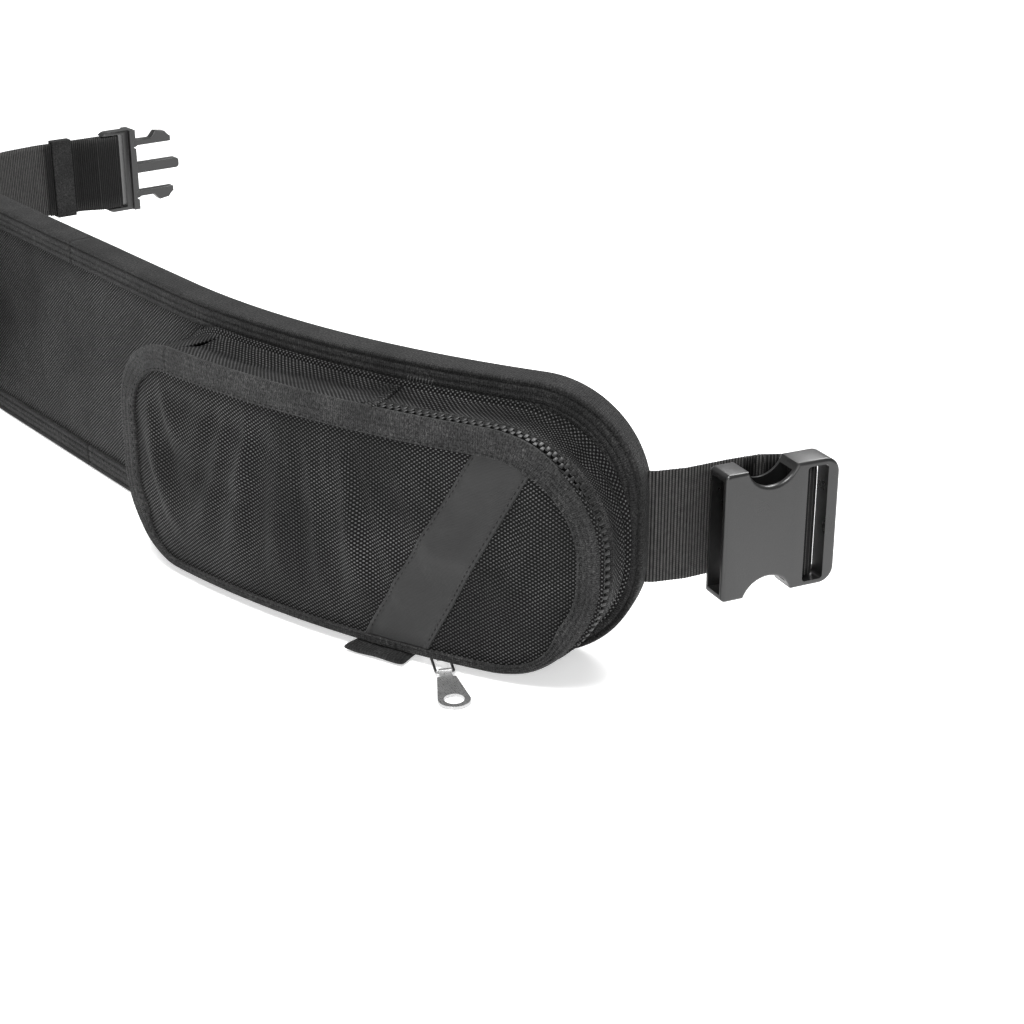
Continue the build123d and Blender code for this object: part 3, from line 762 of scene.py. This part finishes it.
# its folds: distance round the pouch, share of its depth, how deep, how long and how high
sideFolds = [(0.030, 0.30, 0.0035, 0.030, 0.22), (0.085, 0.18, 0.0022, 0.024, 0.16),
             (0.132, 0.75, 0.0016, 0.008, 0.30), (0.175, 0.15, 0.0016, 0.012, 0.20),
             (0.200, 0.30, 0.0020, 0.006, 0.35), (0.252, 0.26, -0.0022, 0.050, 0.10),
             (0.252, 0.08, 0.0016, 0.050, 0.06), (0.300, 0.45, 0.0012, 0.012, 0.30),
             (0.420, 0.40, 0.0020, 0.030, 0.30)]


def sideReach(station):
    # the mesh stops at the zip where there is one
    along, height = station[:2]
    start = zipStart["top" if height > middle else "low"]
    return mix(frontBase - 0.0010, zipBox[2] + 0.0010, smooth(along, start - 0.004, start + 0.001))


def sideProfile(station):
    along, height, inAlong, inHeight, distance = station
    top = sideReach(station)
    foot = gusset["foot"]
    base = [(-foot, 0.0002), (-foot + 0.0002, 0.0012), (-foot / 2, 0.0016), (0.0002, 0.0016), (wall, 0.0020)]
    levels = []
    for k in range(1, gusset["levels"] + 1):
        t = k / gusset["levels"]
        out = mix(0.0020, top, t)
        belly = math.sin(math.pi * t)
        sag = gusset["sag"] * belly * (0.35 + 0.65 * max(-inHeight, 0))
        wide = noise.noise(Vector((distance * 22, out * 26, 4.4)))
        fold = noise.noise(Vector((distance * 75 + out * 90, out * 18, 9.3)))
        pull = math.sin(distance * 2 * math.pi / gusset["puckerPitch"] + 3 * wide)
        pull *= math.exp(-t * 6) * (1 - t)
        sag += belly * (0.0010 * wide + 0.0007 * fold) + gusset["pucker"] * pull
        for spot, share, deep, long, high in sideFolds:
            sag += deep * belly * math.exp(-((distance - spot) / long) ** 2 - ((t - share) / high) ** 2)
        levels.append((wall + max(sag, -0.0012), out))
    return base + levels


def makeSide(sideName, side):
    path = pouchOutline.path(0.0020)
    bm = ribbon(path, sideProfile, side)
    faceAway(bm, beltPoint(0.13, 0.015, middle, side))
    piece = makePiece(bm, f"{sideName}_pouch_side", sideCloth, f"{sideName}_wing",
                      [f"{sideName}_pouch_gusset"], thick=0.0009)
    rows = bmesh.new()
    outside, out = gusset["stitchIn"], gusset["stitchOut"]
    spots = [beltPoint(s[0] - s[2] * outside, out, s[1] - s[3] * outside, side) for s in path]
    stitchRow(rows, spots, [outward(s[0], side) for s in path], 0.0018, 0.0012)
    makePiece(rows, f"{sideName}_foot_stitches", darkThread, f"{sideName}_wing")


def farShare(station):
    # one at the pouch's far end, where the zip turns out onto the crest
    return smooth(-station[2], 0.3, 0.95)


def crestTurn(out, share):
    # how far in the zip leans there, as it nears the front
    return 0.0032 * share * max(0, (out - 0.0225) / 0.0079) ** 2


def tapeThick(inAlong):
    return frontTape["thick"] + frontTape["thicker"] * smooth(-inAlong, 0.2, 0.9)


def tapeProfile(station):
    along, height, inAlong, inHeight, distance = station
    width, thick = bandWidth(inHeight), tapeThick(inAlong)
    ripple = 0.0002 * noise.noise(Vector((distance * 90, 2.2, 5.1)))
    shift = frontTape["setBack"] * farShare(station)
    ridges = ((1.0, -0.3), (0.99, 0.75), (0.94, 1.0), (0.84, 0.95), (0.76, 0.68), (0.70, 0.95),
              (0.58, 1.0), (0.50, 0.66), (0.44, 0.95), (0.33, 1.04), (0.26, 0.74), (0.20, 0.98),
              (0.10, 0.85), (0.03, 0.45))
    steps = [(shift + (width - shift) * share + 0.0002, frontBase + thick * lift + ripple)
             for share, lift in ridges]
    edge = ((-0.0002, -0.0002), (-0.0003, 0.0008), (0.0001, 0.0022), (0.0006, frontTape["down"]))
    kept = 1 - 0.625 * farShare(station)
    return steps + [(shift + inward, frontBase - drop * kept) for inward, drop in edge]


def makeFrontTape(sideName, side):
    path = pouchOutline.path(0.0022)
    bm = ribbon(path, tapeProfile, side)
    faceAway(bm, beltPoint(0.13, 0.0, middle, side))
    makePiece(bm, f"{sideName}_ribbed_tape", frontTapeCloth, f"{sideName}_wing",
              [f"{sideName}_front_tape"], thick=0.0008)
    rows = bmesh.new()
    spots = []
    for s in path:
        inward = bandWidth(s[3]) * frontTape["stitchAt"]
        out = frontBase + tapeThick(s[2]) + 0.0001
        spots.append(beltPoint(s[0] + s[2] * inward, out, s[1] + s[3] * inward, side))
    stitchRow(rows, spots, [outward(s[0], side) for s in path], 0.0020, 0.0012)
    makePiece(rows, f"{sideName}_tape_stitches", darkThread, f"{sideName}_wing")


# Zip: both tapes with a bead beside the teeth, the teeth, and the tab that covers its lower end
zipper = {"pitch": 0.0033, "tooth": (0.0019, 0.0031, 0.0019), "proud": 0.0009, "rowGap": 0.00105,
          "forward": 0.0022, "lean": 0.62, "taper": 0.18, "halfChannel": 0.0027}
chainOut = (chainBox[2] + chainBox[3]) / 2


def zipStations(step, shorter=0.0):
    path = pouchOutline.path(step)
    top = [k for k, s in enumerate(path) if s[1] > middle and s[0] > zipStart["top"] + shorter]
    low = [k for k, s in enumerate(path) if s[1] < middle and s[0] > zipStart["low"] + shorter]
    return path[min(top):max(low) + 1]


def zipProfile(station):
    low, high = zipBox[2], zipBox[3]
    bead = [(0.0003, -0.0008), (-0.0003, -0.0004), (-0.0003, 0.0), (0.0008, 0.0003)]
    near, far = chainOut - zipper["halfChannel"], chainOut + zipper["halfChannel"]
    flat = [(wall + 0.0014, low - 0.0002), (wall - 0.0002, low), (wall - 0.0008, low + 0.0005),
            (wall - 0.0002, low + 0.0010), *((wall + inward, near + out) for inward, out in bead),
            (wall + 0.0009, chainOut), *((wall + inward, far - out) for inward, out in reversed(bead)),
            (wall - 0.0001, high - 0.0004), (wall + 0.0004, high + 0.0004)]
    share = farShare(station)
    return [(inward + crestTurn(out, share), out + 0.0010 * share * smooth(out, low, high))
            for inward, out in flat]


def makeZip(sideName, side):
    bm = ribbon(zipStations(0.0022), zipProfile, side)
    faceAway(bm, beltPoint(0.13, 0.02, middle, side))
    makePiece(bm, f"{sideName}_zip_cloth", zipCloth, f"{sideName}_wing",
              [f"{sideName}_zip_tape"], thick=0.0006)
    teeth = bmesh.new()
    stations = zipStations(0.0011, shorter=0.002)
    for row in (-1, 1):
        due = zipper["pitch"] * (1 if row > 0 else 0.5)
        for k in range(len(stations) - 1):
            s, following = stations[k], stations[k + 1]
            start = s[4] - stations[0][4]
            step = following[4] - s[4]
            if start + step < due:
                continue
            share = (due - start) / step
            due += zipper["pitch"]
            turn = farShare(s)
            out = chainOut + zipper["forward"] * turn + row * (zipper["rowGap"] - 0.00012 * turn)
            inward = wall - zipper["proud"] + zipper["tooth"][2] / 2 + crestTurn(out, turn) - 0.0003 * turn
            along = mix(s[0], following[0], share) + s[2] * inward
            height = mix(s[1], following[1], share) + s[3] * inward
            spot = beltPoint(along, out, height, side)
            ahead = beltPoint(along - s[3] * 0.001, out, height + s[2] * 0.001, side)
            away = (beltPoint(along - s[2] * 0.001, out, height - s[3] * 0.001, side) - spot).normalized()
            lift = away + outward(along, side) * zipper["lean"] * turn
            matrix = placing(spot, ahead - spot, lift, zipper["tooth"])
            made = bmesh.ops.create_cube(teeth, size=1, matrix=matrix)
            centre = outward(along, side) * -row
            for v in made["verts"]:                   # the head is narrower than the foot
                if (v.co - spot).dot(centre) > 0:
                    v.co = mix(v.co, spot + centre * (v.co - spot).dot(centre), zipper["taper"])
    bmesh.ops.recalc_face_normals(teeth, faces=teeth.faces)
    makePiece(teeth, f"{sideName}_zip_teeth", toothPlastic, f"{sideName}_wing",
              [f"{sideName}_zip_chain"], rounding=0.00028)
    makeTab(sideName, side)


tab = {"slant": 0.002, "ripple": 0.00025, "columns": 18, "rows": 24}


def makeTab(sideName, side):
    # a strip folded over the zip's lower end: its fold is at the front
    near, far, inner, outer, low, high = tabBox

    def place(column, row):
        t = column / tab["columns"]
        turn = 2 * math.pi * row / tab["rows"]
        across = math.copysign(abs(math.cos(turn)) ** 0.35, math.cos(turn))
        up = math.copysign(abs(math.sin(turn)) ** 0.55, math.sin(turn))
        out = mix(inner, outer, 0.5 + across / 2)
        along = mix(near, far, t) - tab["slant"] * (out - inner) / (outer - inner) * (1 - t)
        rise = up * (high - low) / 2 + tab["ripple"] * math.sin(t * 9 + out * 400)
        rise *= 1 - 0.35 * abs(2 * t - 1) ** 8
        return beltPoint(along, out, (low + high) / 2 + rise, side), (t * (far - near), row * 0.0016)

    bm = formGrid(tab["columns"], tab["rows"], place)
    bmesh.ops.holes_fill(bm, edges=[e for e in bm.edges if e.is_boundary], sides=0)
    bmesh.ops.recalc_face_normals(bm, faces=bm.faces)
    makePiece(bm, f"{sideName}_zip_tab", edgeTape, f"{sideName}_wing",
              [f"{sideName}_zip_garage"])


# Folded end of the upper mesh, which hides the zip's upper end
flap = {"front": 0.1625, "back": 0.1565, "width": 0.010, "thick": 0.0024, "columns": 22}


def makeFlap(sideName, side):
    profile = [(-1.0, 0.0), (-0.6, 0.4), (0.0, 0.6), (0.25, 0.65), (0.38, 0.2), (0.50, 0.75), (0.8, 1.15),
               (0.96, 1.0), (1.0, 0.1)]

    def place(column, row):
        t = column / flap["columns"]
        out = mix(0.0015, frontBase - 0.0006, t)
        share, lift = profile[row]
        edge = mix(flap["back"], flap["front"], t)
        along = edge + (share - 1) * flap["width"] * 0.5
        height = pouchBox[5] - wall + flap["thick"] * (lift - 0.35) * smooth(t, -0.3, 0.4)
        height -= 0.0010 * math.sin(math.pi * t)
        return beltPoint(along, out, height, side), (along, out)

    bm = formGrid(flap["columns"], len(profile) - 1, place)
    faceAway(bm, beltPoint(0.157, 0.015, 0.0, side))
    piece = makePiece(bm, f"{sideName}_zip_flap", sideCloth, f"{sideName}_wing", thick=0.0007)


# Label: a plain slanting strip with its sides hemmed
label = {"top": (0.206, 0.232), "low": (0.155, 0.185), "lift": 0.0007, "rows": 60,
         "topGap": 0.0100, "lowGap": 0.0030, "stitchAt": 0.055}


def labelSpot(u, v, side, lift=0.0):
    # u across the strip, v up it
    low, high = pouchBox[4] + label["lowGap"], pouchBox[5] - label["topGap"]
    along = mix(mix(*label["low"], u), mix(*label["top"], u), v)
    height = mix(low, high, v)
    out = frontOut(along, height) + label["lift"] + lift
    return beltPoint(along, out, height, side)


def makeLabel(sideName, side):
    width = label["low"][1] - label["low"][0]
    shares = [0, 0.004, 0.02, 0.075, 0.085, 0.1, 0.2, 0.35, 0.5, 0.65, 0.8, 0.9, 0.915, 0.925, 0.98,
              0.996, 1]
    hem = [-0.0006, 0, 0.00035, 0.00035, 0.0001]
    lifts = hem + [0] * (len(shares) - 2 * len(hem)) + hem[::-1]

    def place(column, row):
        u, v = shares[column], row / label["rows"]
        crinkle = 0.00025 * noise.noise(Vector((u * 5, v * 11, 6.6)))
        return labelSpot(u, v, side, lifts[column] + crinkle), (u * width, v * 0.105)

    bm = formGrid(len(shares) - 1, label["rows"], place, beltPoint(0.19, -0.05, middle, side))
    piece = makePiece(bm, f"{sideName}_label_band", labelCloth, f"{sideName}_wing",
                      [f"{sideName}_label_strip"], thick=0.0005)
    rows = bmesh.new()
    for u in (label["stitchAt"], 1 - label["stitchAt"]):
        spots = [labelSpot(u, k / 90, side, 0.0004) for k in range(4, 90)]
        stitchRow(rows, spots, [outward(0.19, side)] * len(spots), 0.0019, 0.0011)
    makePiece(rows, f"{sideName}_label_stitches", darkThread, f"{sideName}_wing")


for sideName, side in sides.items():
    for makeOne in (makePad, makeBinding, makeSide, makeFrontTape, makeFront, makeZip, makeFlap, makeLabel):
        makeOne(sideName, side)
    for node, name, body, rounding in (("zip_slider", "slider_body", "slider", 0.0002),
                                       ("zip_pull", "pull_tab", "pull", 0.00045)):
        copyNode(f"{sideName}_{node}", f"{sideName}_{name}", pullMetal, f"{sideName}_{body}",
                 rounding)
    bailMaterials = frame["nodes"][f"{sideName}_zip_bail"].data.materials
    bailMaterials.clear()
    bailMaterials.append(wireMetal)
    print(f"{sideName} wing dressed")

# ---- Straps: ribbed webbing on a plan route, folded round each buckle bar ----

padEnd = Vector(joints["right_strap_swing"]["pos_m"])
socketBar = Vector(joints["socket_swing"]["pos_m"])
plugBar = Vector(joints["plug_swing"]["pos_m"])
webMiddleOut = (webBox[2] + webBox[3]) / 2


def roundedRoute(points, radii):
    # plan route of straight runs with rounded corners, as evenly spaced points
    dense = [points[0]]
    for k in range(1, len(points) - 1):
        before, corner, after = points[k - 1], points[k], points[k + 1]
        inDir, outDir = (corner - before).normalized(), (after - corner).normalized()
        turn = inDir.angle(outDir)
        shorter = min((corner - before).length, (after - corner).length)
        reach = min(radii[k - 1] * math.tan(turn / 2), shorter * 0.49)
        first, last = corner - inDir * reach, corner + outDir * reach
        dense += [first.lerp(corner, t).lerp(corner.lerp(last, t), t) for t in (k / 12 for k in range(13))]
    dense.append(points[-1])
    step = strapShape["step"]
    spaced, left = [dense[0]], step
    for a, b in zip(dense, dense[1:]):
        run = b - a
        while run.length >= left:
            a = a + run.normalized() * left
            spaced.append(a)
            run = b - a
            left = step
        left -= run.length
    return spaced


def makeStrap(name, route, replaced):
    # ribs stand out square to the route; the edges are drawn in a little
    def place(column, row):
        spot = route[column]
        ahead = (route[min(column + 1, len(route) - 1)] - route[max(column - 1, 0)]).normalized()
        distance = column * strapShape["step"]
        wave = math.sin(2 * math.pi * distance / strapShape["rib"])
        t = row / strapShape["rows"]
        selvedge = smooth(min(t, 1 - t), 0, 0.05)
        across = Vector((ahead.y, -ahead.x, 0)) * strapShape["ribDepth"] * wave * selvedge
        height = mix(webBox[4] + 0.0003, webBox[5] - 0.0003, t) + 0.00012 * wave * (1 - selvedge)
        return Vector((spot.x, spot.y, height)) + across, (distance, height)

    bm = formGrid(len(route) - 1, strapShape["rows"], place)
    bmesh.ops.recalc_face_normals(bm, faces=bm.faces)
    piece = makePiece(bm, name, webCloth, None, [replaced])
    web = piece.modifiers.new("webbing thickness", "SOLIDIFY")
    web.thickness = strapShape["thick"]
    web.offset = 0
    return piece


def flexAtPad(piece):
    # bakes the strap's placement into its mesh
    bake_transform(piece)


def pastPad(x, y, side=1):
    return Vector((side * (padEnd.x + x), padEnd.y + y, 0))


insideRun = [beltPoint(padBox[1] - back, webMiddleOut, 0) for back in (0.012, 0.006)]
# bends of the two straps, past the pad's end
socketBends = [(0.0056, 0.0140), (0.0091, 0.0335), (0.0126, 0.0475), (0.0217, 0.0597)]
plugBends = [(0.0066, 0.0175), (0.0131, 0.0395), (0.0168, 0.0615)]
startRadii = [0.010, 0.010, 0.004, 0.024, 0.060]
barSpot = Vector((socketBar.x, socketBar.y, 0))
lastBend = pastPad(*socketBends[-1])
toBar = (barSpot - lastBend).normalized()
sideways = Vector((-toBar.y, toBar.x, 0))


def roundBar(centre, heading, lateral, radius, turns):
    # points round a bar, turned from the heading
    angles = [math.radians(turn) for turn in turns]
    return [centre + (heading * math.cos(angle) + lateral * math.sin(angle)) * radius for angle in angles]


def socketRoute():
    half = strapShape["thick"] / 2 + 0.0001
    neck = barSpot - toBar * strapShape["neck"]
    ring = roundBar(barSpot, toBar, sideways, strapShape["ring"], range(130, -131, -13))
    ring = [neck + sideways * half] + ring + [neck - sideways * half]
    bends = [pastPad(*place) for place in socketBends]
    fold = [b + sideways * half for b in bends[2:]]
    back = [b - sideways * half for b in reversed(bends[2:])]
    foldEnd = bends[1].lerp(bends[2], 0.40)
    going = insideRun + [pastPad(0, 0)] + bends[:2] + fold + ring
    coming = back + [foldEnd + Vector((half * 2, 0, 0))]
    return roundedRoute(going + coming, startRadii + [0.014, 0.005] + [0.0012] * len(ring) + [0.005, 0.014])


def plugRoute():
    # round the bar, then the tail runs back inside the strap and under the keeper
    centre = Vector((plugBar.x, plugBar.y, 0))
    offset, tailGap = 0.0037, 0.0019
    tailRun = centre.x - offset + tailGap
    start = [Vector((-p.x, p.y, 0)) for p in insideRun] + [pastPad(0, 0, -1)]
    start += [pastPad(*place, side=-1) for place in plugBends]
    ring = roundBar(centre, Vector((1, 0, 0)), Vector((0, 1, 0)), offset, range(180, -1, -15))
    tail = [Vector((centre.x + offset, centre.y - 0.013, 0)), Vector((tailRun, centre.y - 0.026, 0)),
            Vector((tailRun, start[-1].y + 0.006, 0))]
    return roundedRoute(start + ring + tail, startRadii + [0.060] + [0.0012] * len(ring) + [0.010, 0.010])


flexAtPad(makeStrap("right_web", socketRoute(), "right_strap"))
flexAtPad(makeStrap("left_web", plugRoute(), "left_strap"))
print("straps made")

# ---- Keeper and buckle ----

copyNode("strap_keeper", "elastic_keeper", elasticCloth, "left_strap", 0.0004)
for node, name, body, rounding in (("socket_housing", "buckle_socket", "socket", 0.0003),
                                   ("plug_body", "buckle_plug", "plug", 0.0006),
                                   ("upper_prong", "buckle_prong_upper", "upper_prong", 0.0006),
                                   ("lower_prong", "buckle_prong_lower", "lower_prong", 0.0006)):
    copyNode(node, name, bucklePlastic, body, rounding)
print("buckle made")

# ---- Floor, light and camera ----

studio = {"azimuth": 52.28, "elevation": 23.04, "distance": 0.880, "lens": 70.0, "worldStrength": 0.42,
          "target": (0.2592, 0.0712, 0.0411), "floorGlow": 0.5}
lamps = {"key": ((0.5, -0.5, 1.7), (0.7, 0.7), 34), "side": ((1.5, -1.1, 0.7), (0.6, 0.6), 10),
         "rim": ((-0.2, 1.1, 1.1), (0.8, 0.5), 16)}


def paleFloor():
    made = Nodes("pale floor", 0.6, Specular_IOR_Level=0.2, Emission_Strength=studio["floorGlow"],
                 Emission_Color=(1, 1, 1, 1))
    made.colour(made.noise(3, 2), [(0.3, 0.88), (0.7, 0.90)])
    bm = bmesh.new()
    bmesh.ops.create_grid(bm, x_segments=8, y_segments=8, size=12.0)
    bmesh.ops.translate(bm, verts=bm.verts, vec=(0, 0, -0.0004))
    mesh = bpy.data.meshes.new("studio_floor")
    bm.to_mesh(mesh)
    bm.free()
    mesh.materials.append(made.material)
    floor = bpy.data.objects.new("studio_floor", mesh)
    scene.collection.objects.link(floor)


def softLight(name, spot, aim, size, power):
    lamp = bpy.data.lights.new(name, "AREA")
    lamp.shape = "RECTANGLE"
    lamp.size, lamp.size_y = size
    lamp.energy = power
    light = bpy.data.objects.new(name, lamp)
    scene.collection.objects.link(light)
    light.location = spot
    light.rotation_euler = (Vector(aim) - Vector(spot)).to_track_quat("-Z", "Y").to_euler()


def makeStudio():
    paleFloor()
    world = bpy.data.worlds.new("studio")
    world.use_nodes = True
    tree = world.node_tree
    sky = tree.nodes["Background"]
    sky.inputs["Color"].default_value = (1, 1, 1, 1)
    seen = tree.nodes.new("ShaderNodeLightPath")
    strength = tree.nodes.new("ShaderNodeMapRange")
    strength.inputs["To Min"].default_value = studio["worldStrength"]
    tree.links.new(seen.outputs["Is Camera Ray"], strength.inputs["Value"])
    tree.links.new(strength.outputs["Result"], sky.inputs["Strength"])
    scene.world = world
    for name, (spot, size, power) in lamps.items():
        softLight(name, spot, (0.2, 0.05, 0.05), size, power)
    scene.view_settings.view_transform = "Standard"
    azimuth, elevation = math.radians(studio["azimuth"]), math.radians(studio["elevation"])
    level = Vector((math.sin(azimuth), -math.cos(azimuth), 0))
    back = level * math.cos(elevation) + Vector((0, 0, math.sin(elevation)))
    lens = bpy.data.cameras.new("camera")
    lens.lens = studio["lens"]
    lens.sensor_width = 36
    lens.clip_start = 0.05
    camera = bpy.data.objects.new("camera", lens)
    scene.collection.objects.link(camera)
    camera.location = Vector(studio["target"]) + back * studio["distance"]
    camera.rotation_euler = (-back).to_track_quat("-Z", "Y").to_euler()
    scene.camera = camera


makeStudio()
print("studio ready")
